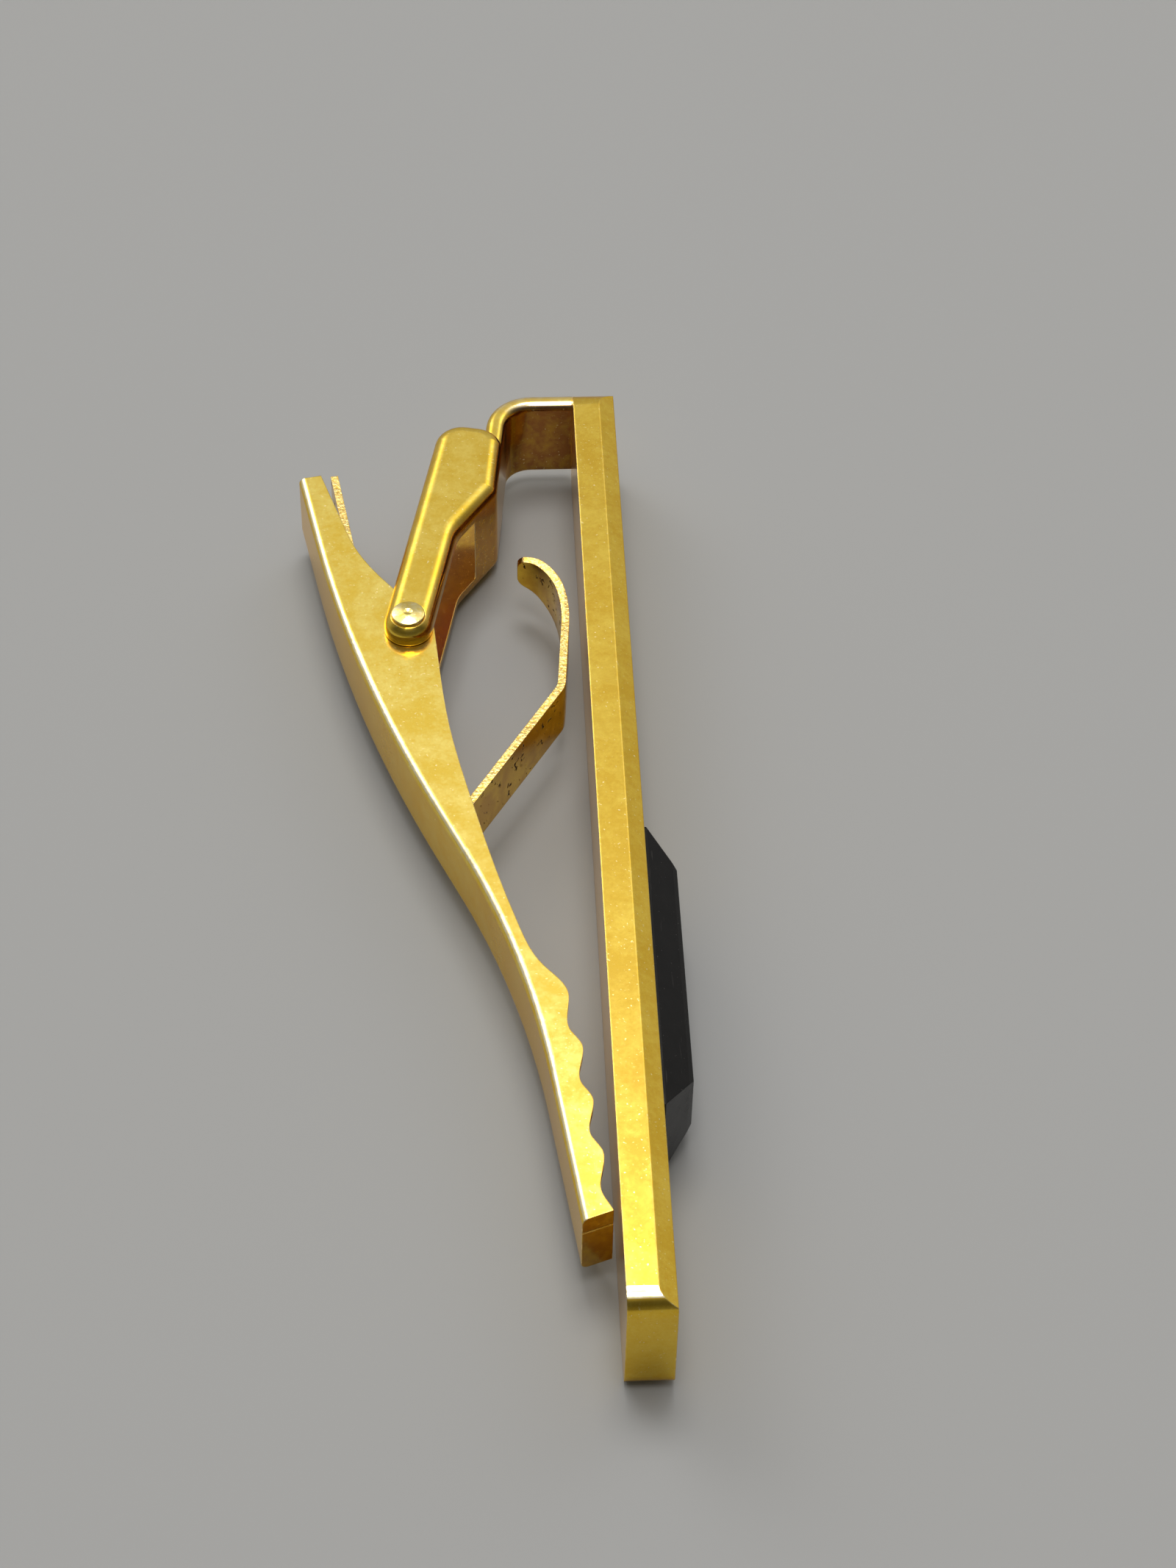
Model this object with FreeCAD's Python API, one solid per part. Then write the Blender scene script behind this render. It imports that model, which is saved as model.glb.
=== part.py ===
import FreeCAD
import Part
import math
import os

# A tie clip, lying on its side as it is worn. +Y runs along the bar to the hinge end, +X points out of
# the bar's front and +Z goes up across its width. The origin is the middle of the bar's lower long side.
# Sizes are in millimetres and angles in degrees.

# Bar
BAR_LENGTH = 57.15
BAR_WIDTH = 6.4
BAR_THICKNESS = 2.15
BAR_CORNER_RADIUS = 1.0
BAR_HINGE_CORNER_RADIUS = 1.6
BAR_BEVEL_THICKNESS = 0.8
BAR_BEVEL_WIDTH = 0.5

# Stone, cut in two tiers, from its base up to its flat table
STONE_LENGTH = 16.0
STONE_WIDTH = 5.0
STONE_OFFSET = 9.83
STONE_RECESS_DEPTH = 0.3
STONE_SIDE_CLEARANCE = 0.05
STONE_GIRDLE_HEIGHT = 0.1
STONE_LOWER_HEIGHT = 1.15
STONE_LOWER_INSET = 1.6
STONE_LOWER_SIDE_INSET = 0.75
STONE_UPPER_HEIGHT = 0.2
STONE_UPPER_INSET = 0.3
STONE_UPPER_SIDE_INSET = 0.2

# Hinge bracket, bent from one sheet
BRACKET_SHEET = 1.0
BRACKET_EDGE_RADIUS = 0.42
BRACKET_OVERHANG = 0.25
BRACKET_STRIP_WIDTH = 4.7
BRACKET_STRIP_RUN = 2.15
BRACKET_BEND_RADIUS = 1.4
WEB_TILT = 6.0
WEB_LENGTH = 5.4
FOLD_RADIUS = 0.75
EAR_START = 0.95
EAR_ARM_WIDTH = 2.38
EAR_TILT = 11.7
EAR_SHOULDER = 6.5
EAR_SHOULDER_RADIUS = 2.0
EAR_FOOT_RADIUS = 0.9
EAR_EDGE_RADIUS = 0.7
EAR_ROUNDNESS = 0.42

# Pivot and its rivet
PIVOT_GAP = 8.68
PIVOT_INSET = 16.6
RIVET_RADIUS = 0.6
RIVET_HEAD_RADIUS = 0.82
RIVET_HEAD_HEIGHT = 0.21
RIVET_SEAT_DEPTH = 0.12
RIVET_DOME_RADIUS = 2.9
RIVET_RIM_RADIUS = 0.06
RIVET_DIMPLE_RADIUS = 0.24
RIVET_DIMPLE_DEPTH = 0.06
RIVET_FIT_CLEARANCE = 0.01
PIVOT_CLEARANCE = 0.05
EAR_CLEARANCE = 0.05

# Lever, a channel whose spine is a chain of straight runs and bends from the thumb end to the jaw
LEVER_SHEET = 0.4
LEVER_FOLD_RADIUS = 0.35
LEVER_HEIGHT = 3.85
JAW_HEIGHT = 3.6
THUMB_RUN = 4.6
BOW_RADIUS = 84.7
BOW_ANGLE = 12.9
MIDDLE_RUN = 3.1
SWEEP_RADIUS = 48.0
SWEEP_ANGLE = 16.1
JAW_RUN = 8.0
THUMB_TIP_DEPTH = 1.15
THUMB_DEPTH = 1.68
PIVOT_STATION = 12.2
PIVOT_DEPTH = 3.0
BOSS_RADIUS = 1.25
BOSS_THUMB_ANGLE = 37.0
BOSS_JAW_ANGLE = 5.5
FLANK_STATIONS = (19.1, 24.1, 28.6, 32.0, 34.4)
FLANK_DEPTHS = (2.76, 1.8, 1.0, 0.77, 1.1)
TOOTH_COUNT = 4
TOOTH_PITCH = 2.87
TOOTH_RISE = 0.85
TOOTH_TO_TIP = 1.2
TOOTH_DEPTH = 0.42
JAW_ROOT_DEPTH = 1.75
JAW_TIP_DEPTH = 1.42
JAW_TIP_SETBACK = 0.3
JAW_GAP = 0.24
JAW_SEAM_DROP = 1.0
JAW_SEAM_WIDTH = 0.07
JAW_SEAM_DEPTH = 0.06

# Leaf spring, a strip that lies in the channel and turns back towards the bar
SPRING_SHEET = 0.38
SPRING_WIDTH = 2.9
SPRING_SEAT_CLEARANCE = 0.02
SPRING_SEAT_STATION = 16.6
SPRING_KINK_RADIUS = 8.0
SPRING_KINK_ANGLE = 10.0
SPRING_TAIL_RUN = 15.4
SPRING_ROOT_STATION = 23.4
SPRING_ROOT_RADIUS = 0.7
SPRING_LEG_TILT = 31.5
SPRING_ELBOW_RADIUS = 1.4
SPRING_REST_TILT = 4.5
SPRING_REST_RUN = 4.0
SPRING_CURL_RADII = (9.0, 5.4, 1.8)
SPRING_CURL_ANGLES = (15.0, 25.0, 46.0)
SPRING_TIP_WIDTH = 1.5
SPRING_TIP_RADIUS = 0.6
SPRING_GAP = 0.72

# Points closer than this count as one place
TOUCH = 1e-6

# Derived places
MID = BAR_WIDTH / 2
BACK = -BAR_THICKNESS / 2
FRONT = BAR_THICKNESS / 2
FAR_END = BAR_LENGTH / 2
EAR_GAP = LEVER_HEIGHT + 2 * EAR_CLEARANCE
BRACKET_WIDTH = EAR_GAP + 2 * BRACKET_SHEET
PIVOT = FreeCAD.Vector(BACK - PIVOT_GAP, FAR_END - PIVOT_INSET, 0)
LEVER_STEPS = (
    (THUMB_RUN, 0),
    (BOW_RADIUS, BOW_ANGLE),
    (MIDDLE_RUN, 0),
    (SWEEP_RADIUS, -SWEEP_ANGLE),
    (JAW_RUN, 0),
)


def ahead(angle):
    """Unit vector of a heading: 0 is towards -Y, 90 towards +X."""
    return FreeCAD.Vector(math.sin(math.radians(angle)), -math.cos(math.radians(angle)), 0)


def left(angle):
    """Unit vector to the left of a heading."""
    return FreeCAD.Vector(math.cos(math.radians(angle)), math.sin(math.radians(angle)), 0)


def step_length(size, turn):
    """Length of a straight run (turn 0) or of a bend of radius size."""
    return size * math.radians(abs(turn)) if turn else size


def step_end(point, angle, size, turn, part=1.0):
    """Point and heading after a part of a straight run or bend."""
    if not turn:
        return point + ahead(angle) * size * part, angle
    radius = math.copysign(size, turn)
    centre = point + left(angle) * radius
    angle += turn * part
    return centre - left(angle) * radius, angle


def trace(point, angle, steps, side):
    """Edges of a path of runs and bends, moved to its left by side, with the place where they end."""
    point = point + left(angle) * side
    edges = []
    for size, turn in steps:
        if turn:
            size -= side * math.copysign(1, turn)
            middle = step_end(point, angle, size, turn, 0.5)[0]
            end, angle = step_end(point, angle, size, turn)
            edges.append(Part.Arc(point, middle, end).toShape())
        else:
            end = step_end(point, angle, size, turn)[0]
            edges.append(Part.makeLine(point, end))
        point = end
    return edges, point, angle


def place(point, angle, steps, distance, depth):
    """Point that lies a distance along a path and a depth to its left."""
    for size, turn in steps:
        part = min(distance / step_length(size, turn), 1.0)
        point, angle = step_end(point, angle, size, turn, part)
        distance -= step_length(size, turn) * part
    return point + left(angle) * depth


def prism(edges, height):
    """Solid of a closed plan outline, centred on the middle of the bar's width."""
    face = Part.Face(Part.Wire(Part.__sortEdges__(edges)))
    face.translate(FreeCAD.Vector(0, 0, MID - height / 2))
    return face.extrude(FreeCAD.Vector(0, 0, height))


def strip(point, angle, steps, thickness, width):
    """Solid of a bent strip whose middle follows a path."""
    right_edges, right_end, _ = trace(point, angle, steps, -thickness / 2)
    left_edges, left_end, _ = trace(point, angle, steps, thickness / 2)
    half = left(angle) * (thickness / 2)
    ends = [Part.makeLine(point - half, point + half), Part.makeLine(right_end, left_end)]
    return prism(right_edges + left_edges + ends, width)


def soften(solid, plan, radius):
    """Rounds the upper and lower edges of an upright solid that lie over the edges of a plan."""
    outline = Part.Compound(plan)
    edges = []
    for edge in solid.Edges:
        half_way = (edge.FirstParameter + edge.LastParameter) / 2
        middle = edge.valueAt(half_way)
        level = abs(edge.tangentAt(half_way).z) < 0.5
        if level and Part.Vertex(middle.x, middle.y, 0).distToShape(outline)[0] < TOUCH:
            edges.append(edge)
    return solid.makeFillet(radius, edges)


def rounded(corners):
    """Edges of a closed outline through (point, radius) corners."""
    arcs = []
    for index, (corner, radius) in enumerate(corners):
        to_last = (corners[index - 1][0] - corner).normalize()
        to_next = (corners[(index + 1) % len(corners)][0] - corner).normalize()
        half = to_last.getAngle(to_next) / 2
        reach = radius / math.tan(half)
        middle = corner + (to_last + to_next).normalize() * (radius / math.sin(half) - radius)
        arcs.append((corner + to_last * reach, middle, corner + to_next * reach))
    edges = []
    for index, arc in enumerate(arcs):
        edges.append(Part.Arc(*arc).toShape())
        following = arcs[(index + 1) % len(arcs)][0]
        if arc[2].distanceToPoint(following) > TOUCH:
            edges.append(Part.makeLine(arc[2], following))
    return edges


def curve(points, first_tangent, last_tangent):
    """Smooth edge through points, with the headings at its ends."""
    spline = Part.BSplineCurve()
    spline.interpolate(Points=points, InitialTangent=first_tangent, FinalTangent=last_tangent)
    return spline.toShape()


def rectangle(x, length, width):
    """Closed outline across X, centred on the stone."""
    low = FreeCAD.Vector(x, -STONE_OFFSET - length / 2, MID - width / 2)
    along = FreeCAD.Vector(0, length, 0)
    across = FreeCAD.Vector(0, 0, width)
    return Part.makePolygon([low, low + along, low + along + across, low + across, low])


def make_bar():
    """Flat bar with rounded end corners, two bevelled front edges and the stone's recess."""
    low = FreeCAD.Vector(BACK, -FAR_END, 0)
    along = FreeCAD.Vector(0, BAR_LENGTH, 0)
    across = FreeCAD.Vector(0, 0, BAR_WIDTH)
    corners = [
        (low, BAR_CORNER_RADIUS),
        (low + along, BAR_HINGE_CORNER_RADIUS),
        (low + along + across, BAR_HINGE_CORNER_RADIUS),
        (low + across, BAR_CORNER_RADIUS),
    ]
    blank = Part.Face(Part.Wire(rounded(corners))).extrude(FreeCAD.Vector(BAR_THICKNESS, 0, 0))
    side = FRONT - BAR_BEVEL_THICKNESS
    section = [(BACK, 0), (side, 0), (FRONT, BAR_BEVEL_WIDTH)]
    section += [(x, BAR_WIDTH - z) for x, z in reversed(section)]
    points = [FreeCAD.Vector(x, -FAR_END, z) for x, z in section]
    bevelled = Part.Face(Part.makePolygon(points + points[:1])).extrude(along)
    clearance = 2 * STONE_SIDE_CLEARANCE
    recess = Part.Face(rectangle(FRONT, STONE_LENGTH + clearance, STONE_WIDTH + clearance))
    return blank.common(bevelled).cut(recess.extrude(FreeCAD.Vector(-STONE_RECESS_DEPTH, 0, 0)))


def make_stone():
    """Bevelled stone with an upright girdle, two tiers of facets and a flat table."""
    length = STONE_LENGTH
    width = STONE_WIDTH
    x = FRONT + STONE_GIRDLE_HEIGHT
    sections = [rectangle(FRONT - STONE_RECESS_DEPTH, length, width), rectangle(x, length, width)]
    for height, inset, side_inset in (
        (STONE_LOWER_HEIGHT, STONE_LOWER_INSET, STONE_LOWER_SIDE_INSET),
        (STONE_UPPER_HEIGHT, STONE_UPPER_INSET, STONE_UPPER_SIDE_INSET),
    ):
        x += height
        length -= 2 * inset
        width -= 2 * side_inset
        sections.append(rectangle(x, length, width))
    return Part.makeLoft(sections, True, True)


def pivot_cylinder(radius, height):
    """Upright cylinder on the pivot, centred on the middle of the bar's width."""
    return Part.makeCylinder(radius, height, PIVOT + FreeCAD.Vector(0, 0, MID - height / 2))


def make_hinge_bracket():
    """Strip bent back along the bar, with two ears folded from it that run to the rivet's seats."""
    start = FreeCAD.Vector(BACK, FAR_END + BRACKET_OVERHANG - BRACKET_SHEET / 2, 0)
    bend = (BRACKET_BEND_RADIUS + BRACKET_SHEET / 2, 90 - WEB_TILT)
    steps = ((BRACKET_STRIP_RUN, 0), bend, (WEB_LENGTH / 2, 0))
    arch = strip(start, -90, steps, BRACKET_SHEET, BRACKET_STRIP_WIDTH)
    sides = [edge for side in (-1, 1) for edge in trace(start, -90, steps, side * BRACKET_SHEET / 2)[0]]
    arch = soften(arch, sides, BRACKET_EDGE_RADIUS)

    _, web_start, web_angle = trace(start, -90, steps[:2], BRACKET_SHEET / 2)
    along_arm = -ahead(-EAR_TILT)
    across_arm = left(-EAR_TILT)
    half_arm = EAR_ARM_WIDTH / 2
    top_right = web_start + ahead(web_angle) * EAR_START
    ear_length = (top_right - PIVOT).dot(along_arm)
    top_left = PIVOT + along_arm * ear_length - across_arm * half_arm
    top_radius = top_left.distanceToPoint(top_right) * EAR_ROUNDNESS
    corners = [
        (PIVOT - along_arm * half_arm - across_arm * half_arm, half_arm),
        (PIVOT - along_arm * half_arm + across_arm * half_arm, half_arm),
        (PIVOT + along_arm * EAR_SHOULDER + across_arm * half_arm, EAR_SHOULDER_RADIUS),
        (web_start + ahead(web_angle) * WEB_LENGTH, EAR_FOOT_RADIUS),
        (top_right, top_radius),
        (top_left, top_radius),
    ]
    outline = rounded(corners)
    blank = soften(prism(outline, BRACKET_WIDTH), outline, EAR_EDGE_RADIUS)

    reach = PIVOT_GAP + EAR_ARM_WIDTH
    length = ear_length + reach
    across_web = -left(web_angle)
    up = FreeCAD.Vector(0, 0, 1)
    low = web_start - ahead(web_angle) * reach + up * (MID - BRACKET_WIDTH / 2)
    high = low + up * BRACKET_WIDTH
    section = [
        Part.makeLine(low + across_web * reach, low + across_web * FOLD_RADIUS),
        fold_arc(low, up, across_web),
        Part.makeLine(low + up * FOLD_RADIUS, high - up * FOLD_RADIUS),
        fold_arc(high, -up, across_web),
        Part.makeLine(high + across_web * FOLD_RADIUS, high + across_web * reach),
        Part.makeLine(high + across_web * reach, low + across_web * reach),
    ]
    sheet = up * BRACKET_SHEET
    inner = low + across_web * BRACKET_SHEET
    inside = Part.makePolygon(
        [
            inner + sheet,
            inner + sheet + up * EAR_GAP,
            inner + sheet + up * EAR_GAP + across_web * reach,
            inner + sheet + across_web * reach,
            inner + sheet,
        ]
    )
    run = ahead(web_angle) * (length + reach)
    channel = Part.Face(Part.Wire(section)).extrude(run).cut(Part.Face(inside).extrude(run))
    ears = blank.common(channel).cut(pivot_cylinder(RIVET_RADIUS + RIVET_FIT_CLEARANCE, BRACKET_WIDTH))
    seats = pivot_cylinder(RIVET_HEAD_RADIUS + RIVET_FIT_CLEARANCE, BRACKET_WIDTH)
    seats = seats.cut(pivot_cylinder(RIVET_HEAD_RADIUS * 2, BRACKET_WIDTH - 2 * RIVET_SEAT_DEPTH))
    return arch.fuse(ears.cut(seats)).removeSplitter()


def fold_arc(corner, upward, inward):
    """Rounded outer corner of a folded sheet, between two directions from the sharp corner."""
    centre = corner + (upward + inward) * FOLD_RADIUS
    middle = centre - (upward + inward).normalize() * FOLD_RADIUS
    return Part.Arc(corner + inward * FOLD_RADIUS, middle, corner + upward * FOLD_RADIUS).toShape()


def make_rivet_head():
    """Low dome with a rounded rim and a punched dimple, let into an ear whose face is at the origin."""
    dome = FreeCAD.Vector(0, 0, RIVET_HEAD_HEIGHT - RIVET_DOME_RADIUS)
    reach = RIVET_HEAD_RADIUS - RIVET_RIM_RADIUS
    rise = math.sqrt((RIVET_DOME_RADIUS - RIVET_RIM_RADIUS) ** 2 - reach**2)
    rim = dome + FreeCAD.Vector(reach, 0, rise)
    outward = (rim - dome).normalize()
    halfway = (outward + FreeCAD.Vector(1, 0, 0)).normalize()
    crown = dome + FreeCAD.Vector(0, 0, RIVET_DOME_RADIUS)
    crown_middle = dome + (outward + FreeCAD.Vector(0, 0, 1)).normalize() * RIVET_DOME_RADIUS
    shoulder = dome + outward * RIVET_DOME_RADIUS
    side = rim + FreeCAD.Vector(RIVET_RIM_RADIUS, 0, 0)
    foot = FreeCAD.Vector(RIVET_HEAD_RADIUS, 0, -RIVET_SEAT_DEPTH)
    middle = FreeCAD.Vector(0, 0, -RIVET_SEAT_DEPTH)
    profile = [
        Part.Arc(crown, crown_middle, shoulder).toShape(),
        Part.Arc(shoulder, rim + halfway * RIVET_RIM_RADIUS, side).toShape(),
        Part.makeLine(side, foot),
        Part.makeLine(foot, middle),
        Part.makeLine(middle, crown),
    ]
    head = Part.Face(Part.Wire(profile)).revolve(middle, FreeCAD.Vector(0, 0, 1), 360)
    dent = (RIVET_DIMPLE_RADIUS**2 + RIVET_DIMPLE_DEPTH**2) / (2 * RIVET_DIMPLE_DEPTH)
    return head.cut(Part.makeSphere(dent, crown + FreeCAD.Vector(0, 0, dent - RIVET_DIMPLE_DEPTH)))


def make_pivot_rivet():
    """Pin through both ears, with a domed head at each end."""
    rivet = pivot_cylinder(RIVET_RADIUS, BRACKET_WIDTH)
    for side in (0, 180):
        head = make_rivet_head()
        head.translate(FreeCAD.Vector(0, 0, BRACKET_WIDTH / 2))
        head.rotate(FreeCAD.Vector(0, 0, 0), FreeCAD.Vector(0, 1, 0), side)
        head.translate(PIVOT + FreeCAD.Vector(0, 0, MID))
        rivet = rivet.fuse(head)
    return rivet.removeSplitter()


def lever_start():
    """Place and heading of the spine's thumb end when the jaw's tip stands its gap from the bar's back."""
    origin = FreeCAD.Vector(0, 0, 0)
    total = sum(step_length(*step) for step in LEVER_STEPS)
    pivot = place(origin, 0, LEVER_STEPS, PIVOT_STATION, PIVOT_DEPTH)
    tip = place(origin, 0, LEVER_STEPS, total - JAW_TIP_SETBACK, JAW_TIP_DEPTH) - pivot
    reach = math.acos((PIVOT_GAP - JAW_GAP) / tip.Length)
    angle = math.degrees(-reach - math.atan2(tip.y, tip.x))
    return PIVOT - FreeCAD.Rotation(FreeCAD.Vector(0, 0, 1), angle).multVec(pivot), angle


def tapered(edges, height, jaw_height, jaw_y):
    """Solid of a closed plan outline that gets lower from the pivot to the jaw."""
    side = [(FAR_END, height), (PIVOT.y, height), (jaw_y, jaw_height)]
    side = [(y, MID + high / 2) for y, high in side] + [(y, MID - high / 2) for y, high in reversed(side)]
    points = [FreeCAD.Vector(-BAR_LENGTH, y, z) for y, z in side]
    wedge = Part.Face(Part.makePolygon(points + points[:1])).extrude(FreeCAD.Vector(2 * BAR_LENGTH, 0, 0))
    return prism(edges, height).common(wedge)


def make_lever():
    """Channel with a thumb end, pierced bosses at the pivot and a toothed jaw closed by a seamed end."""
    start, angle = lever_start()
    total = sum(step_length(*step) for step in LEVER_STEPS)

    def edge_point(station, depth):
        return place(start, angle, LEVER_STEPS, station, depth)

    spine, spine_end, jaw_angle = trace(start, angle, LEVER_STEPS, 0)
    teeth = []
    tip_station = total - JAW_TIP_SETBACK
    for index in range(TOOTH_COUNT, 0, -1):
        depth = JAW_TIP_DEPTH + (JAW_ROOT_DEPTH - JAW_TIP_DEPTH) * index / TOOTH_COUNT
        valley = tip_station - TOOTH_TO_TIP - (index - 1) * TOOTH_PITCH
        teeth.append(edge_point(valley - TOOTH_PITCH + TOOTH_RISE, depth))
        teeth.append(edge_point(valley, depth - TOOTH_DEPTH))
    tip = edge_point(tip_station, JAW_TIP_DEPTH)
    flank = [edge_point(*point) for point in zip(FLANK_STATIONS, FLANK_DEPTHS)]

    boss_top = PIVOT + left(BOSS_THUMB_ANGLE) * BOSS_RADIUS
    boss_middle = PIVOT + left((BOSS_THUMB_ANGLE + BOSS_JAW_ANGLE) / 2) * BOSS_RADIUS
    boss_low = PIVOT + left(BOSS_JAW_ANGLE) * BOSS_RADIUS
    thumb = edge_point(0, THUMB_TIP_DEPTH)
    thumb_end = edge_point(THUMB_RUN, THUMB_DEPTH)
    free_edge = [
        Part.makeLine(start, thumb),
        Part.makeLine(thumb, thumb_end),
        curve([thumb_end, boss_top], (thumb_end - thumb).normalize(), ahead(BOSS_THUMB_ANGLE)),
        Part.Arc(boss_top, boss_middle, boss_low).toShape(),
        curve([boss_low, *flank, *teeth, tip], ahead(BOSS_JAW_ANGLE), (tip - teeth[-1]).normalize()),
        Part.makeLine(tip, spine_end),
    ]
    blank = tapered(spine + free_edge, LEVER_HEIGHT, JAW_HEIGHT, spine_end.y)
    blank = soften(blank, spine, LEVER_FOLD_RADIUS)

    lead = LEVER_SHEET
    cavity_steps = ((lead, 0), *LEVER_STEPS[:-1], (JAW_RUN - LEVER_SHEET, 0))
    cavity_start = start - ahead(angle) * lead
    bottom, bottom_end, _ = trace(cavity_start, angle, cavity_steps, LEVER_SHEET)
    mouth = [
        cavity_start + left(angle) * LEVER_SHEET,
        cavity_start + left(angle) * PIVOT_GAP,
        bottom_end + left(jaw_angle) * PIVOT_GAP,
        bottom_end,
    ]
    walls = 2 * LEVER_SHEET
    cavity_edges = bottom + Part.makePolygon(mouth).Edges
    cavity = tapered(cavity_edges, LEVER_HEIGHT - walls, JAW_HEIGHT - walls, spine_end.y)
    lever = blank.cut(cavity).cut(pivot_cylinder(RIVET_RADIUS + PIVOT_CLEARANCE, LEVER_HEIGHT))

    end_face = tip - spine_end
    seam_angle = math.degrees(math.atan2(end_face.x, -end_face.y))
    seam_steps = ((end_face.Length + JAW_GAP, 0),)
    seam = strip(spine_end, seam_angle, seam_steps, 2 * JAW_SEAM_DEPTH, JAW_SEAM_WIDTH)
    seam.translate(FreeCAD.Vector(0, 0, JAW_HEIGHT / 2 - JAW_SEAM_DROP))
    return lever.cut(seam)


def make_leaf_spring():
    """Strip seated inside the spine, turned back at its root towards the bar and curled at its end."""
    start, angle = lever_start()
    seat_depth = LEVER_SHEET + SPRING_SEAT_CLEARANCE + SPRING_SHEET / 2
    seat_turn = math.degrees((SPRING_SEAT_STATION - THUMB_RUN) / BOW_RADIUS)
    seat_angle = angle + seat_turn
    seat = place(start, angle, LEVER_STEPS, SPRING_SEAT_STATION, seat_depth)
    tail_steps = ((SPRING_KINK_RADIUS, -SPRING_KINK_ANGLE), (SPRING_TAIL_RUN, 0))
    tail = strip(seat, seat_angle + 180, tail_steps, SPRING_SHEET, SPRING_WIDTH)

    seat_bend = math.degrees((SPRING_ROOT_STATION - SPRING_SEAT_STATION) / BOW_RADIUS)
    root_bend = 180 - SPRING_LEG_TILT - seat_angle - seat_bend
    to_leg = ((BOW_RADIUS - seat_depth, seat_bend), (SPRING_ROOT_RADIUS, root_bend))
    elbow = (SPRING_ELBOW_RADIUS, SPRING_LEG_TILT - SPRING_REST_TILT)
    curl = tuple(zip(SPRING_CURL_RADII, SPRING_CURL_ANGLES))
    to_curl = (elbow, (SPRING_REST_RUN, 0), (SPRING_CURL_RADII[0], SPRING_REST_TILT))
    leg_start, leg_angle = trace(seat, seat_angle, to_leg, 0)[1:]
    crest = trace(leg_start, leg_angle, to_curl, -SPRING_SHEET / 2)[1]
    leg_run = (BACK - SPRING_GAP - crest.x) / math.sin(math.radians(SPRING_LEG_TILT))
    steps = to_leg + ((leg_run, 0), elbow, (SPRING_REST_RUN, 0)) + curl
    leg = strip(seat, seat_angle, steps, SPRING_SHEET, SPRING_WIDTH)

    curl_start = trace(seat, seat_angle, steps[: -len(curl)], 0)[1]
    curl_end = trace(seat, seat_angle, steps, 0)[1]
    run = curl_start.x - curl_end.x
    spread = (SPRING_WIDTH - SPRING_TIP_WIDTH) / 2
    corners = []
    for x, half, radius in (
        (curl_end.x, SPRING_TIP_WIDTH / 2, SPRING_TIP_RADIUS),
        (curl_start.x + run, SPRING_WIDTH / 2 + spread, SPRING_SHEET),
    ):
        low = (FreeCAD.Vector(x, curl_start.y, MID - half), radius)
        high = (FreeCAD.Vector(x, curl_start.y, MID + half), radius)
        corners += [low, high] if not corners else [high, low]
    tongue = Part.Face(Part.Wire(rounded(corners))).extrude(FreeCAD.Vector(0, BAR_LENGTH, 0))
    corner = FreeCAD.Vector(curl_end.x - run, curl_start.y, MID - SPRING_WIDTH)
    around = Part.makeBox(2 * run, BAR_LENGTH, 2 * SPRING_WIDTH, corner).cut(tongue)
    return tail.fuse(leg.cut(around)).removeSplitter()


os.makedirs("parts", exist_ok=True)
for node, shape in (
    ("bar", make_bar()),
    ("stone", make_stone()),
    ("hinge_bracket", make_hinge_bracket()),
    ("pivot_rivet", make_pivot_rivet()),
    ("lever", make_lever()),
    ("leaf_spring", make_leaf_spring()),
):
    shape.exportStep(f"parts/{node}.step")
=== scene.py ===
from math import cos, radians, sin

import bpy
from mathutils import Euler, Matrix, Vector


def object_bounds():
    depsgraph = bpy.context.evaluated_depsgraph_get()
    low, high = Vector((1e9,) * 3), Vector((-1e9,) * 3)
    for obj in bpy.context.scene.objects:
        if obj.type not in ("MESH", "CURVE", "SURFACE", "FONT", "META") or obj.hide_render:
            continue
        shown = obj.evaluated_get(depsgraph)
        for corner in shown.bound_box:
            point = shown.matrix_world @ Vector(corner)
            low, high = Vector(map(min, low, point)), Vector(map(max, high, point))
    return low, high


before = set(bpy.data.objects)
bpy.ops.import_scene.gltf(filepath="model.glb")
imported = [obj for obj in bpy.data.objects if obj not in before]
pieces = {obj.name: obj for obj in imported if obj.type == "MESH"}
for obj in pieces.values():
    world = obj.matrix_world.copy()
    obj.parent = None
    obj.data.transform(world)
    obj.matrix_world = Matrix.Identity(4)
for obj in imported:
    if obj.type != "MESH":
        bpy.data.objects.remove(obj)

cad_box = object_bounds()


# The bar is a flat length of solid brass with two bevelled front edges and rounded end corners.
# It is polished and gold-plated under clear lacquer. Wear has clouded it in soft patches,
# speckled it with pale spots and rubbed its edges bright. The rounding at its near end is
# painted pale, a painted highlight.

BAR_GOLD = (0.86, 0.535, 0.013, 1.0)
BAR_CLOUD = (0.94, 0.65, 0.055, 1.0)
EDGE_TINT = (0.90, 0.66, 0.26, 1.0)
RUBBED_GOLD = (0.98, 0.80, 0.36, 1.0)
# Painted highlight: the pale colour laid on roundings
PAINTED_HIGHLIGHT_PALE = (1.0, 0.90, 0.62, 1.0)
LACQUER_WEIGHT = 0.8
LACQUER_ROUGHNESS = 0.3

# Sizes of the marks in the plating, in millimetres
MM_PER_M = 1000
BAR_CLOUD_SIZE = 2.4
SMEAR_SIZE = 0.5
GRAIN_SIZE = 0.17
SPECK_SIZE = 0.13
HAIR_SIZE = 0.07

# The noise of the marks, its range that shows and, where given, the share it is laid out to
NOISE_ROUGHNESS = 0.55
NOISE_DISTORTION = 0.3
HAIR_STRETCH = (1.0, 0.08, 1.0)
BAR_LAY = 0.3
SPECK_RANGE = (0.69, 0.76)
CLOUD_RANGE = (0.42, 0.60)
HAZE_RANGE = (0.40, 0.62)
RIM_WEAR = (0.38, 0.62, 0.35, 0.9)
# Patches of the painted highlight on roundings
HIGHLIGHT_PATCHES = (0.35, 0.6, 0.55, 0.9)
SPECK_SHARE = 0.8
PALE_HAZE = 0.12
BAR_HAZE = (0.13, 0.17)
PLATE_RELIEF = 0.2
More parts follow.
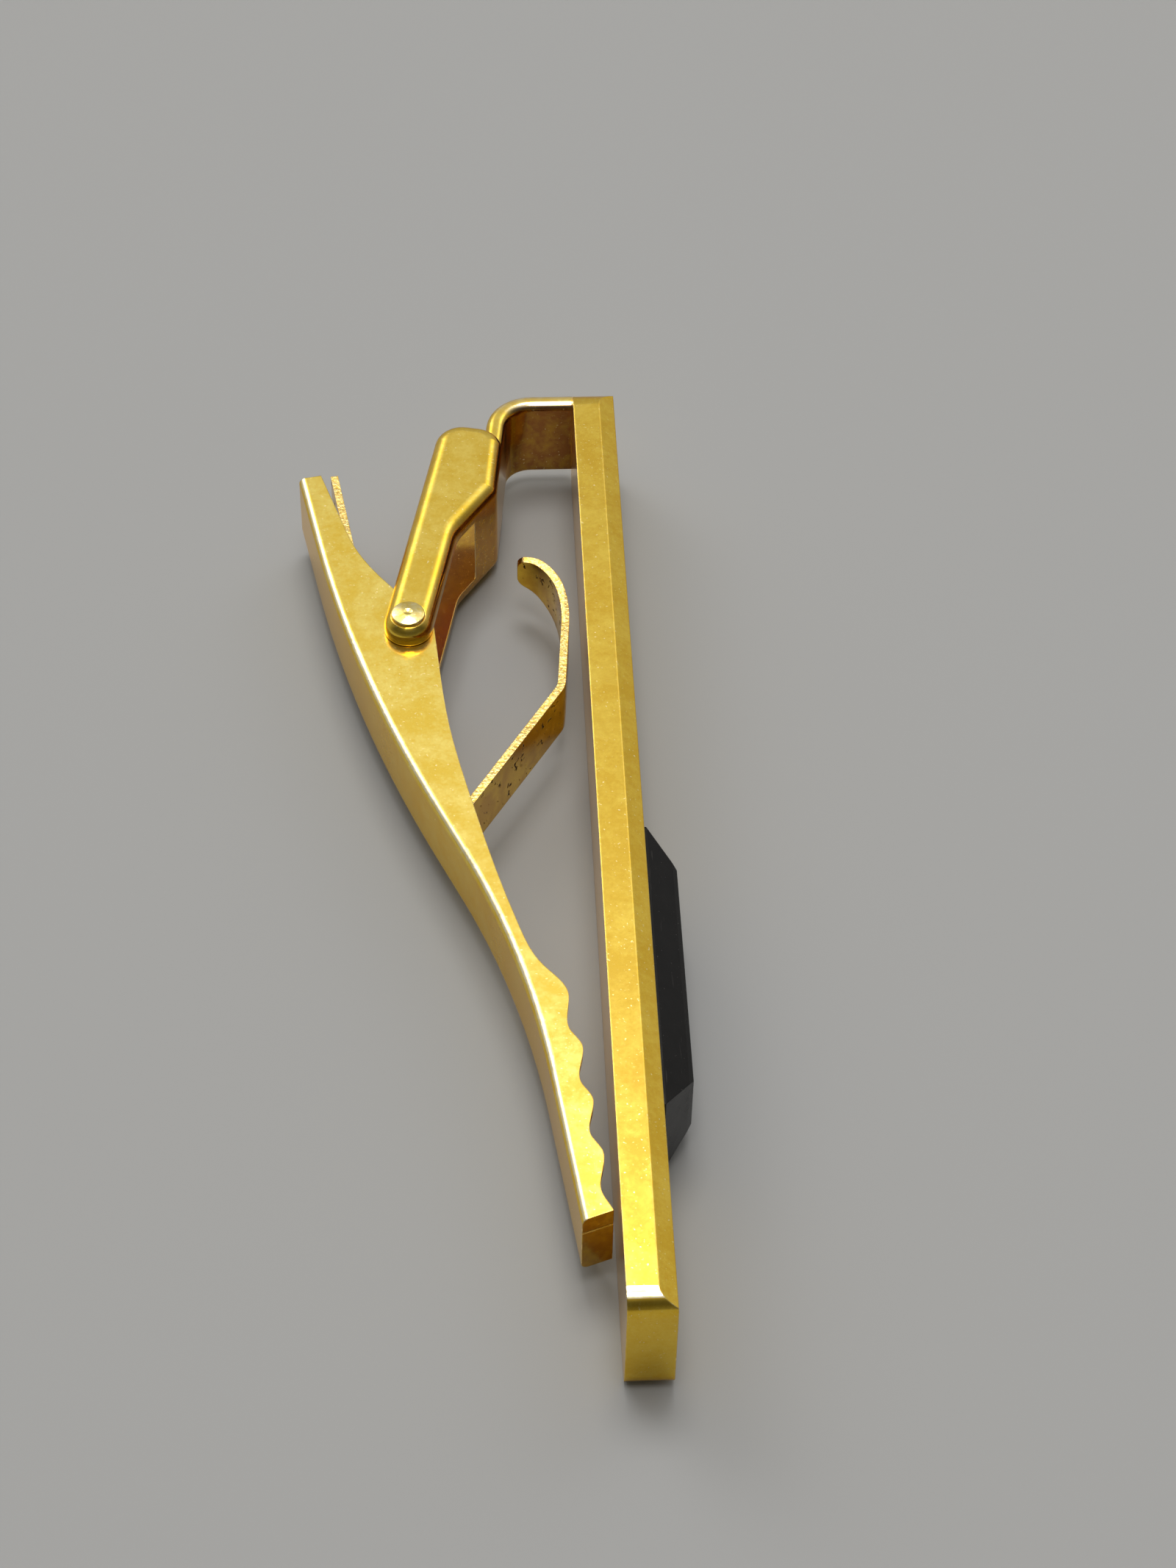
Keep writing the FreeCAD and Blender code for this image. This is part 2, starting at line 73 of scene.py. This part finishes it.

# Rubbed edges, and roundings painted pale as highlights; radii, depths and places in metres
BAR_EDGE = 0.00010
MARK_DEPTH = 0.00001
EDGE_SAMPLES = 6
RIM_TURN = (0.995, 0.85)
FADE_IN = (-0.02, 0.04)
FADE_OUT = (0.01, -0.03)
# Painted highlight: the rounding at the bar's near end is painted pale
BAR_END_HIGHLIGHT = ("Y", 0.06, 0.55, (-0.025, -0.026))


def plug(tree, socket, value):
    """The value of a shader socket, or the link from another socket that feeds it."""
    if isinstance(value, bpy.types.NodeSocket):
        tree.links.new(value, socket)
    else:
        socket.default_value = value


def add_node(tree, kind, inputs=(), **settings):
    """One shader node; inputs gives a value or the socket that feeds it for each named socket."""
    made = tree.nodes.new(kind)
    for name, value in settings.items():
        setattr(made, name, value)
    for name, value in dict(inputs).items():
        plug(tree, made.inputs[name], value)
    return made


def new_finish(name):
    """An empty material with its surface shader and the piece's own coordinates in millimetres."""
    finish = bpy.data.materials.new(name)
    finish.use_nodes = True
    tree = finish.node_tree
    tree.nodes.clear()
    surface = add_node(tree, "ShaderNodeBsdfPrincipled")
    add_node(tree, "ShaderNodeOutputMaterial", {"Surface": surface.outputs["BSDF"]})
    place = add_node(tree, "ShaderNodeTexCoord").outputs["Object"]
    in_mm = add_node(tree, "ShaderNodeMapping", {"Vector": place, "Scale": (MM_PER_M,) * 3})
    return finish, tree, surface, in_mm.outputs["Vector"]


def mottle(tree, spot, size, detail, stretch=(1, 1, 1), lay=0.0):
    """Soft noise with patches of about size millimetres, drawn out by stretch and turned by lay."""
    laid = add_node(
        tree, "ShaderNodeMapping", {"Vector": spot, "Rotation": (0, 0, lay), "Scale": stretch}
    )
    noise = add_node(
        tree,
        "ShaderNodeTexNoise",
        {
            "Vector": laid.outputs["Vector"],
            "Scale": 1 / size,
            "Detail": detail,
            "Roughness": NOISE_ROUGHNESS,
            "Distortion": NOISE_DISTORTION,
        },
    )
    return noise.outputs["Fac"]


def spread(tree, value, low, high, to_low=0.0, to_high=1.0):
    """The value between low and high, laid out from to_low to to_high."""
    limits = {"From Min": low, "From Max": high, "To Min": to_low, "To Max": to_high}
    return add_node(tree, "ShaderNodeMapRange", {"Value": value, **limits}).outputs["Result"]


def combine(tree, operation, first, second=0.0):
    """One step of arithmetic on values or sockets."""
    inputs = {0: first, 1: second}
    return add_node(tree, "ShaderNodeMath", inputs, operation=operation).outputs["Value"]


def weigh(tree, *shares):
    """The sum of the values, each times its share."""
    parts = [combine(tree, "MULTIPLY", value, share) for value, share in shares]
    total = parts[0]
    for part in parts[1:]:
        total = combine(tree, "ADD", total, part)
    return total


def tint(tree, share, base, over):
    """The colour base, covered by over as far as share says."""
    made = add_node(tree, "ShaderNodeMix", {"Factor": share}, data_type="RGBA")
    colours = [socket for socket in made.inputs if socket.type == "RGBA"]
    for socket, value in zip(colours, (base, over)):
        plug(tree, socket, value)
    return [socket for socket in made.outputs if socket.type == "RGBA"][0]


def facing_and_place(tree):
    """Where each point of the piece faces and where it lies, by axis."""
    point = add_node(tree, "ShaderNodeTexCoord")
    return [
        add_node(tree, "ShaderNodeSeparateXYZ", {"Vector": point.outputs[name]}).outputs
        for name in ("Normal", "Object")
    ]


def soft_edges(tree, radius):
    """The surface's normal, rounded off over the radius at the edges."""
    soft = add_node(tree, "ShaderNodeBevel", {"Radius": radius}, samples=EDGE_SAMPLES)
    return soft.outputs["Normal"]


def rims(tree, normal):
    """How near an edge a point is, read from the rounded-off normal."""
    flat = add_node(tree, "ShaderNodeNewGeometry").outputs["Normal"]
    turn = add_node(tree, "ShaderNodeVectorMath", {0: normal, 1: flat}, operation="DOT_PRODUCT")
    return spread(tree, turn.outputs["Value"], *RIM_TURN)


def roundings(tree, axis, start, end, reach=None):
    """Roundings whose facing along the axis lies between start and end, within a reach of Y."""
    facing, place = facing_and_place(tree)
    turn = combine(tree, "ABSOLUTE", facing[axis])
    begun = spread(tree, turn, *(start + fade for fade in FADE_IN))
    not_ended = spread(tree, turn, *(end + fade for fade in FADE_OUT))
    share = combine(tree, "MULTIPLY", begun, not_ended)
    if reach:
        share = combine(tree, "MULTIPLY", share, spread(tree, place["Y"], *reach))
    return share


def relief(tree, surface, height, normal, strength, depth):
    """Marks raised and sunk by their height, on top of the rounded-off edges."""
    bump = add_node(
        tree,
        "ShaderNodeBump",
        {"Strength": strength, "Distance": depth, "Height": height, "Normal": normal},
    )
    plug(tree, surface.inputs["Normal"], bump.outputs["Normal"])


def gold_plate(name, colours, edge, cloud_size, haze, lay, highlight_roundings=None, painted_shade=None):
    """Polished, lacquered gold plating with clouds, pale specks, hair scratches and rubbed edges.

    haze is the roughness of its clear and clouded patches, and lay turns the scratches.
    The roundings given to it are painted pale as a highlight, and the shade function given
    with its colour sets the share that is painted brown as shade.
    """
    finish, tree, surface, spot = new_finish(name)
    clouds = mottle(tree, spot, cloud_size, 4.0)
    smear = mottle(tree, spot, SMEAR_SIZE, 4.0)
    grain = mottle(tree, spot, GRAIN_SIZE, 2.0)
    hair = mottle(tree, spot, HAIR_SIZE, 1.0, HAIR_STRETCH, lay)
    specks = spread(tree, mottle(tree, spot, SPECK_SIZE, 1.0), *SPECK_RANGE)
    wear = weigh(tree, (clouds, 0.5), (smear, 0.3), (grain, 0.2))
    normal = soft_edges(tree, edge)
    rubbed = combine(tree, "MULTIPLY", rims(tree, normal), spread(tree, smear, *RIM_WEAR))
    pale = combine(tree, "MAXIMUM", rubbed, combine(tree, "MULTIPLY", specks, SPECK_SHARE))
    colour = tint(tree, spread(tree, wear, *CLOUD_RANGE), *colours)
    # Painted highlight: the given roundings are painted pale, in patches
    if highlight_roundings:
        highlight_share = spread(tree, smear, *HIGHLIGHT_PATCHES)
        colour = tint(
            tree, combine(tree, "MULTIPLY", roundings(tree, *highlight_roundings), highlight_share), colour, PAINTED_HIGHLIGHT_PALE
        )
    # Painted shade: a share of the surface painted brown where shade falls
    if painted_shade:
        shade_share, brown = painted_shade
        colour = tint(tree, shade_share(tree, smear), colour, brown)
    plug(tree, surface.inputs["Base Color"], tint(tree, pale, colour, RUBBED_GOLD))
    rough = weigh(tree, (spread(tree, wear, *HAZE_RANGE, *haze), 1.0), (pale, PALE_HAZE))
    plug(tree, surface.inputs["Roughness"], rough)
    surface.inputs["Metallic"].default_value = 1.0
    surface.inputs["Specular Tint"].default_value = EDGE_TINT
    surface.inputs["Coat Weight"].default_value = LACQUER_WEIGHT
    surface.inputs["Coat Roughness"].default_value = LACQUER_ROUGHNESS
    height = weigh(tree, (smear, 0.5), (hair, 0.2), (specks, -0.4))
    relief(tree, surface, height, normal, PLATE_RELIEF, MARK_DEPTH)
    return finish


def dress(node, finish):
    """The piece takes this finish and no other."""
    pieces[node].data.materials.clear()
    pieces[node].data.materials.append(finish)


bar_finish = gold_plate(
    "bar_plating",
    (BAR_GOLD, BAR_CLOUD),
    BAR_EDGE,
    BAR_CLOUD_SIZE,
    BAR_HAZE,
    BAR_LAY,
    BAR_END_HIGHLIGHT,
)
dress("bar", bar_finish)


# The stone is an opaque black glass slab with two tiers of bevels, cemented into a shallow recess.
# Its facets are polished and carry a few faint scratches and pale specks of dust.

STONE_BLACK = (0.005, 0.0048, 0.0046, 1.0)
STONE_BLOOM = (0.012, 0.011, 0.010, 1.0)
DUST_GREY = (0.16, 0.15, 0.14, 1.0)
STONE_EDGE = 0.00005
STONE_IOR = 1.24
STONE_RELIEF = 0.12
STONE_GLOSS = (0.35, 1.0, 0.16, 0.4)
BLOOM_SIZE = 0.9
SCRATCH_SIZE = 0.12
SCRATCH_LAY = 0.5
SCRATCH_RANGE = (0.70, 0.78)
DUST_SIZE = 0.11
DUST_RANGE = (0.75, 0.81)

stone_finish, tree, surface, spot = new_finish("black_stone")
bloom = mottle(tree, spot, BLOOM_SIZE, 4.0)
scratch = mottle(tree, spot, SCRATCH_SIZE, 1.0, HAIR_STRETCH, SCRATCH_LAY)
scratch = spread(tree, scratch, *SCRATCH_RANGE)
dust = spread(tree, mottle(tree, spot, DUST_SIZE, 1.0), *DUST_RANGE)
marks = combine(tree, "MAXIMUM", combine(tree, "MULTIPLY", scratch, 0.3), dust)
colour = tint(tree, combine(tree, "MULTIPLY", bloom, 0.5), STONE_BLACK, STONE_BLOOM)
colour = tint(tree, combine(tree, "MULTIPLY", marks, 0.3), colour, DUST_GREY)
plug(tree, surface.inputs["Base Color"], colour)
gloss = spread(tree, combine(tree, "ADD", bloom, marks), *STONE_GLOSS)
plug(tree, surface.inputs["Roughness"], gloss)
surface.inputs["IOR"].default_value = STONE_IOR
relief(tree, surface, marks, soft_edges(tree, STONE_EDGE), STONE_RELIEF, MARK_DEPTH)
dress("stone", stone_finish)


# The hinge bracket is one stamping of thick brass sheet, soldered on the bar's back.
# Its two ears are folded over from the web, and barrel polishing has rolled its edges soft.
# Its inner faces are painted brown as shade, and its strip's top rounding pale as a highlight.

EAR_GOLD = (0.92, 0.60, 0.025, 1.0)
EAR_CLOUD = (0.98, 0.71, 0.10, 1.0)
# Painted shade: the brown laid on inner faces
SHADE_BROWN = (0.36, 0.13, 0.013, 1.0)
EAR_CLOUD_SIZE = 2.0
EAR_EDGE = 0.00008
EAR_HAZE = (0.10, 0.16)
EAR_LAY = 1.2
# Painted highlight: the strip's top rounding is painted pale
STRIP_EDGE_HIGHLIGHT = ("Z", 0.55, 0.999, (0.0273, 0.0279))
STRIP_START = (0.024, 0.025)
STRIP_FACING = (-0.3, -0.8)
WEB_SHADE = (0.4, 0.8, 0.0, 0.9)
EAR_SHADE = (0.001, 0.002, 0.0, 0.8)
BRACKET_PATCHES = (0.3, 0.6, 0.7, 1.0)
CLIP_MIDDLE = 0.0032


def bracket_shade(tree, patches):
    """Painted shade: full on the strip's inner face, less on the web's face towards the bar and in
    the ears.
    """
    facing, place = facing_and_place(tree)
    strip = spread(tree, facing["Y"], *STRIP_FACING)
    strip = combine(tree, "MULTIPLY", strip, spread(tree, place["Y"], *STRIP_START))
    web = spread(tree, facing["X"], *WEB_SHADE)
    inward = combine(tree, "SUBTRACT", CLIP_MIDDLE, place["Z"])
    ears = spread(tree, combine(tree, "MULTIPLY", inward, facing["Z"]), *EAR_SHADE)
    brown = combine(tree, "MAXIMUM", combine(tree, "MAXIMUM", strip, web), ears)
    return combine(tree, "MULTIPLY", brown, spread(tree, patches, *BRACKET_PATCHES))


bracket_finish = gold_plate(
    "bracket_plating",
    (EAR_GOLD, EAR_CLOUD),
    EAR_EDGE,
    EAR_CLOUD_SIZE,
    EAR_HAZE,
    EAR_LAY,
    STRIP_EDGE_HIGHLIGHT,
    (bracket_shade, SHADE_BROWN),
)
dress("hinge_bracket", bracket_finish)


# The rivet is a brass pin through both ears, headed over at each end with a punched dimple.
# Its heads are painted pale as highlights, the brightest spots of the hinge.

HEAD_GOLD = (0.95, 0.67, 0.07, 1.0)
# Painted highlight: the heads' pale colour
HEAD_HIGHLIGHT_PALE = (1.0, 0.86, 0.42, 1.0)
HEAD_CLOUD_SIZE = 0.9
HEAD_EDGE = 0.00005
HEAD_HAZE = (0.08, 0.13)
HEAD_LAY = 0.0

rivet_finish = gold_plate(
    "rivet_plating", (HEAD_GOLD, HEAD_HIGHLIGHT_PALE), HEAD_EDGE, HEAD_CLOUD_SIZE, HEAD_HAZE, HEAD_LAY
)
dress("pivot_rivet", rivet_finish)


# The lever is a channel pressed from thin brass sheet, with a toothed jaw and a bent thumb end.
# Its folds are painted pale as highlights and its flat walls lightly clouded. The inside of the
# channel is painted brown as shade, as is the jaw's sheared end.

LEVER_GOLD = (0.97, 0.655, 0.045, 1.0)
LEVER_CLOUD = (1.0, 0.765, 0.15, 1.0)
LEVER_CLOUD_SIZE = 1.7
LEVER_HAZE = (0.13, 0.19)
LEVER_LAY = -0.25
FOLD_EDGE = 0.00008
# Painted highlight: the folds are painted pale
FOLD_HIGHLIGHTS = ("Z", 0.62, 0.985)
CHANNEL_REACH = 0.0013
CHANNEL_FACING = (0.4, 0.8)
JAW_END = -0.0225
JAW_END_FACING = (-0.6, -0.9)
LEVER_PATCHES = (0.3, 0.6, 0.5, 0.8)


def channel_shade(tree, patches):
    """Painted shade, brown, on the inner face of the channel's back, between its walls, and on the
    jaw's end.
    """
    facing, place = facing_and_place(tree)
    off_middle = combine(tree, "ABSOLUTE", combine(tree, "SUBTRACT", place["Z"], CLIP_MIDDLE))
    inside = combine(tree, "LESS_THAN", off_middle, CHANNEL_REACH)
    inside = combine(tree, "MULTIPLY", inside, spread(tree, facing["X"], *CHANNEL_FACING))
    jaw_end = combine(tree, "LESS_THAN", place["Y"], JAW_END)
    jaw_end = combine(tree, "MULTIPLY", jaw_end, spread(tree, facing["Y"], *JAW_END_FACING))
    brown = combine(tree, "MAXIMUM", inside, jaw_end)
    return combine(tree, "MULTIPLY", brown, spread(tree, patches, *LEVER_PATCHES))


lever_finish = gold_plate(
    "lever_plating",
    (LEVER_GOLD, LEVER_CLOUD),
    FOLD_EDGE,
    LEVER_CLOUD_SIZE,
    LEVER_HAZE,
    LEVER_LAY,
    FOLD_HIGHLIGHTS,
    (channel_shade, SHADE_BROWN),
)
dress("lever", lever_finish)


# The leaf spring is a bent strip of hard brass, cut from sheet and held in the lever's channel.
# Its cut edges are grainy and bright, and its broad faces are browner, with dark pits.

SPRING_GOLD = (0.62, 0.34, 0.035, 1.0)
SPRING_CLOUD = (0.84, 0.54, 0.06, 1.0)
SHEARED_GOLD = (0.97, 0.78, 0.34, 1.0)
PIT_BROWN = (0.05, 0.03, 0.015, 1.0)
SPRING_CLOUD_SIZE = 1.2
SPRING_CLOUD_RANGE = (0.4, 0.65)
SPRING_HAZE = (0.36, 0.66, 0.14, 0.24)
SPRING_EDGE = 0.00005
SPRING_RELIEF = 0.5
SHEAR_FACING = (0.6, 0.8)
SHEAR_GRAIN_SIZE = 0.16
SHEAR_BRIGHT = (0.4, 0.6, 0.2, 0.9)
SHEAR_HEIGHT = (0.0, 1.0, 0.15, 2.0)
PIT_SIZE = 0.35
PIT_RANGE = (0.82, 0.88)
PIT_DEPTH = 0.00003

spring_finish, tree, surface, spot = new_finish("spring_plating")
facing, _ = facing_and_place(tree)
sheared = spread(tree, combine(tree, "ABSOLUTE", facing["Z"]), *SHEAR_FACING)
broad = combine(tree, "SUBTRACT", 1.0, sheared)
clouds = mottle(tree, spot, SPRING_CLOUD_SIZE, 5.0)
grain = mottle(tree, spot, SHEAR_GRAIN_SIZE, 3.0)
deep = weigh(tree, (mottle(tree, spot, PIT_SIZE, 2.0), 1.0), (clouds, 0.35))
pits = combine(tree, "MULTIPLY", spread(tree, deep, *PIT_RANGE), broad)
colour = tint(tree, spread(tree, clouds, *SPRING_CLOUD_RANGE), SPRING_GOLD, SPRING_CLOUD)
bright = combine(tree, "MULTIPLY", sheared, spread(tree, grain, *SHEAR_BRIGHT))
colour = tint(tree, bright, colour, SHEARED_GOLD)
plug(tree, surface.inputs["Base Color"], tint(tree, pits, colour, PIT_BROWN))
rough = weigh(tree, (spread(tree, clouds, *SPRING_HAZE), 1.0), (sheared, 0.10), (pits, 0.4))
plug(tree, surface.inputs["Roughness"], rough)
surface.inputs["Metallic"].default_value = 1.0
height = combine(tree, "MULTIPLY", grain, spread(tree, sheared, *SHEAR_HEIGHT))
height = combine(tree, "SUBTRACT", height, pits)
relief(tree, surface, height, soft_edges(tree, SPRING_EDGE), SPRING_RELIEF, PIT_DEPTH)
dress("leaf_spring", spring_finish)


# The clip lies on its side on a plain pale grey table top.
# The top is one wide matt sheet, a hair below the side that the clip lies on.

TABLE_GREY = (0.32, 0.32, 0.316, 1.0)
TABLE_ROUGHNESS = 0.9
TABLE_REACH = 3.0
TABLE_DROP = 0.00002

table_mesh = bpy.data.meshes.new("table")
corners = [(TABLE_REACH * x, TABLE_REACH * y, 0) for x, y in ((-1, -1), (1, -1), (1, 1), (-1, 1))]
table_mesh.from_pydata(corners, [], [(0, 1, 2, 3)])
table = bpy.data.objects.new("table", table_mesh)
bpy.context.scene.collection.objects.link(table)
table.location.z = cad_box[0][2] - TABLE_DROP
table_finish, _, surface, _ = new_finish("table_top")
surface.inputs["Base Color"].default_value = TABLE_GREY
surface.inputs["Roughness"].default_value = TABLE_ROUGHNESS
table_mesh.materials.append(table_finish)


# Soft studio light: a room that is light behind the clip and dim on the camera's side, soft glows
# overhead and to both sides, and two round lamps high up, behind the clip and in front of it.

ROOM_WHITE = (1.0, 0.99, 0.97, 1.0)
LIGHT_SIDE = 0.44
LIGHT_SIDE_START = (-0.2, 0.4)
DIM_SIDE = (0.0, 0.40, 0.18, 0.09)
LAMP_WHITE = (1.0, 0.985, 0.96)
LAMP_DISTANCE = 0.60

# Swing and height in degrees, radius and power of the lamps, sharpness and strength of the glows
LAMPS = ((0.0, 72.0, 0.117, 1.14), (180.0, 76.0, 0.095, 0.53))
GLOWS = (
    (0.0, 68.0, 22.0, 1.2),
    (180.0, 84.0, 14.0, 1.4),
    (-38.0, 37.0, 34.0, 4.0),
    (42.0, 39.0, 36.0, 1.4),
)


def toward(swing, height):
    """Direction to a light, swung from the hinge end to the clip's front and raised by height."""
    level = cos(radians(height))
    x, y = sin(radians(swing)) * level, cos(radians(swing)) * level
    return Vector((x, y, sin(radians(height))))


world = bpy.data.worlds.new("studio")
bpy.context.scene.world = world
world.use_nodes = True
tree = world.node_tree
tree.nodes.clear()
sky = add_node(tree, "ShaderNodeTexCoord").outputs["Generated"]
axes = add_node(tree, "ShaderNodeSeparateXYZ", {"Vector": sky}).outputs
light_side = spread(tree, axes["Y"], *LIGHT_SIDE_START)
dim_side = combine(tree, "SUBTRACT", 1.0, light_side)
glow = weigh(tree, (light_side, LIGHT_SIDE), (dim_side, spread(tree, axes["Z"], *DIM_SIDE)))
for swing, height, sharpness, strength in GLOWS:
    middle = toward(swing, height)
    near = add_node(tree, "ShaderNodeVectorMath", {0: sky, 1: middle}, operation="DOT_PRODUCT")
    near = combine(tree, "MAXIMUM", near.outputs["Value"], 0.0)
    near = combine(tree, "POWER", near, sharpness)
    glow = combine(tree, "ADD", glow, combine(tree, "MULTIPLY", near, strength))
room = add_node(tree, "ShaderNodeBackground", {"Color": ROOM_WHITE, "Strength": glow})
add_node(tree, "ShaderNodeOutputWorld", {"Surface": room.outputs["Background"]})

for swing, height, radius, power in LAMPS:
    lamp_light = bpy.data.lights.new("lamp", "AREA")
    lamp_light.shape = "DISK"
    lamp_light.size = 2 * radius
    lamp_light.energy = power
    lamp_light.color = LAMP_WHITE
    lamp = bpy.data.objects.new("lamp", lamp_light)
    bpy.context.scene.collection.objects.link(lamp)
    lamp.location = toward(swing, height) * LAMP_DISTANCE
    lamp.rotation_euler = (-lamp.location).to_track_quat("-Z", "Y").to_euler()


# The camera looks down on the clip from beyond its open end.
# Its lens takes in the whole clip with room on all sides.

LENS = 77.05
SENSOR_WIDTH = 36.0
CLIP_START = 0.005
CAMERA_PLACE = (-0.007633, -0.104835, 0.122264)
CAMERA_TURN = (0.737635, -0.014482, -0.042857)

lens = bpy.data.cameras.new("camera")
lens.lens = LENS
lens.sensor_width = SENSOR_WIDTH
lens.clip_start = CLIP_START
camera = bpy.data.objects.new("camera", lens)
bpy.context.scene.collection.objects.link(camera)
camera.location = CAMERA_PLACE
camera.rotation_euler = Euler(CAMERA_TURN)
bpy.context.scene.camera = camera
bpy.context.scene.view_settings.view_transform = "Standard"
